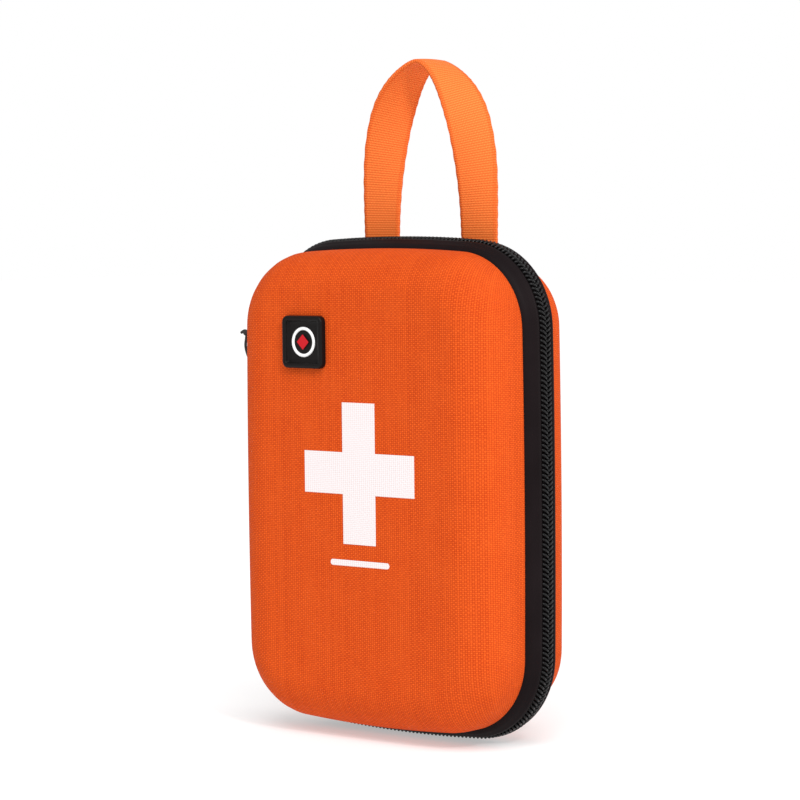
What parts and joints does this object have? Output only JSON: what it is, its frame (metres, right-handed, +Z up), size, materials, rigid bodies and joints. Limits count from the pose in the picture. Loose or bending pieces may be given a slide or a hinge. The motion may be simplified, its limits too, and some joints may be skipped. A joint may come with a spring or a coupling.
{
  "type": "first aid kit",
  "caption": "Zipped hard-shell first aid case with a webbing carry loop, opening like a book on a fabric hinge, with dressings and tools inside.",
  "frame": {"origin": "the point on the ground under the middle of the zip, where the upright case stands on its lower rim", "axes": "+X to the right of the lid, +Y from the lid to the back, +Z up; the zip lies in the plane y = 0"},
  "size_m": [0.1764, 0.0734, 0.2979],
  "materials": {
    "orange_weave": "plain weave, matt",
    "foam": "closed-cell foam, matt",
    "lining": "brushed knit, matt",
    "binding": "woven binding, matt",
    "zip_tape": "coated stretch tape, low sheen",
    "zip_coil": "moulded coil, semi-gloss",
    "elastic": "ribbed elastic",
    "bandage": "open cotton weave",
    "plaster_tape": "wound tape",
    "card": "card core",
    "mesh": "open mesh",
    "paper_pack": "coated paper sachet",
    "foil_pack": "laminated foil sachet",
    "glove_pack": "thin film sachet",
    "badge_rubber": "moulded, matt",
    "badge_white": "moulded inlay",
    "badge_red": "moulded inlay",
    "white_print": "screen print over the weave",
    "steel": "brushed",
    "slider_metal": "black lacquer",
    "cord": "braided cord",
    "webbing": "woven webbing, slight sheen"
  },
  "bodies": {
    "case": {"base_cover": "orange_weave", "base_foam": "foam", "base_lining": "lining", "base_seam_binding": "binding", "base_zip_tape": "zip_tape", "base_zip_coil": "zip_coil", "elastic_loops": "elastic", "bandage_rolls": "bandage", "tape_roll": "plaster_tape", "tape_roll_core": "card", "base_pocket": "mesh", "base_pocket_hem": "elastic", "triangular_bandage": "bandage", "gauze_packs": "paper_pack"},
    "lid": {"lid_cover": "orange_weave", "lid_foam": "foam", "lid_lining": "lining", "lid_seam_binding": "binding", "lid_zip_tape": "zip_tape", "lid_zip_coil": "zip_coil", "badge_frame": "badge_rubber", "badge_ring": "badge_white", "badge_diamond": "badge_red", "cross_print": "white_print", "dash_print": "white_print", "lid_pocket": "mesh", "lid_pocket_hem": "elastic", "cleansing_wipes": "foil_pack", "plasters": "paper_pack", "foil_blanket": "foil_pack", "disposable_gloves": "glove_pack", "scissor_blade_back": "steel", "scissor_rivet": "steel", "scissor_band": "elastic", "tweezers": "steel", "safety_pins": "steel"},
    "zip_end": {"hinge_strip": "binding", "zip_end_stops": "zip_coil"},
    "slider": {"slider_body": "slider_metal"},
    "pull": {"pull_tab": "slider_metal", "pull_cord": "cord", "pull_cord_knot": "cord", "pull_cord_inner_knot": "cord"},
    "loop": {"carry_loop": "webbing"},
    "scissor_arm": {"scissor_blade_front": "steel"}
  },
  "joints": [
    {"name": "lid_hinge", "type": "hinge", "parent": "case", "child": "lid", "pos_m": [-0.0776, 0, 0], "axis": [0, 0, -1], "range_deg": [0, 180], "deforming": ["hinge_strip"]},
    {"name": "hinge_fold", "type": "hinge", "parent": "case", "child": "zip_end", "pos_m": [-0.0776, 0, 0], "axis": [0, 0, -1], "range_deg": [0, 90]},
    {"name": "slider_travel", "type": "slide", "parent": "zip_end", "child": "slider", "axis": [0, 0, 1], "range_m": [0, 0.008]},
    {"name": "pull_swing", "type": "hinge", "parent": "slider", "child": "pull", "pos_m": [-0.08045, 0, 0.17405], "axis": [0, 1, 0], "range_deg": [0, 80]},
    {"name": "loop_fold", "type": "hinge", "parent": "case", "child": "loop", "pos_m": [0.003, 0.013, 0.213], "axis": [1, 0, 0], "range_deg": [-90, 45], "stiffness_Nm_per_rad": 0.02},
    {"name": "scissor_pivot", "type": "hinge", "parent": "lid", "child": "scissor_arm", "pos_m": [0.012, -0.028, 0.158], "axis": [0, -1, 0], "range_deg": [0, 22]}
  ],
  "couplings": [
    {"joint": "hinge_fold", "follows": "lid_hinge", "ratio": 0.5}
  ]
}
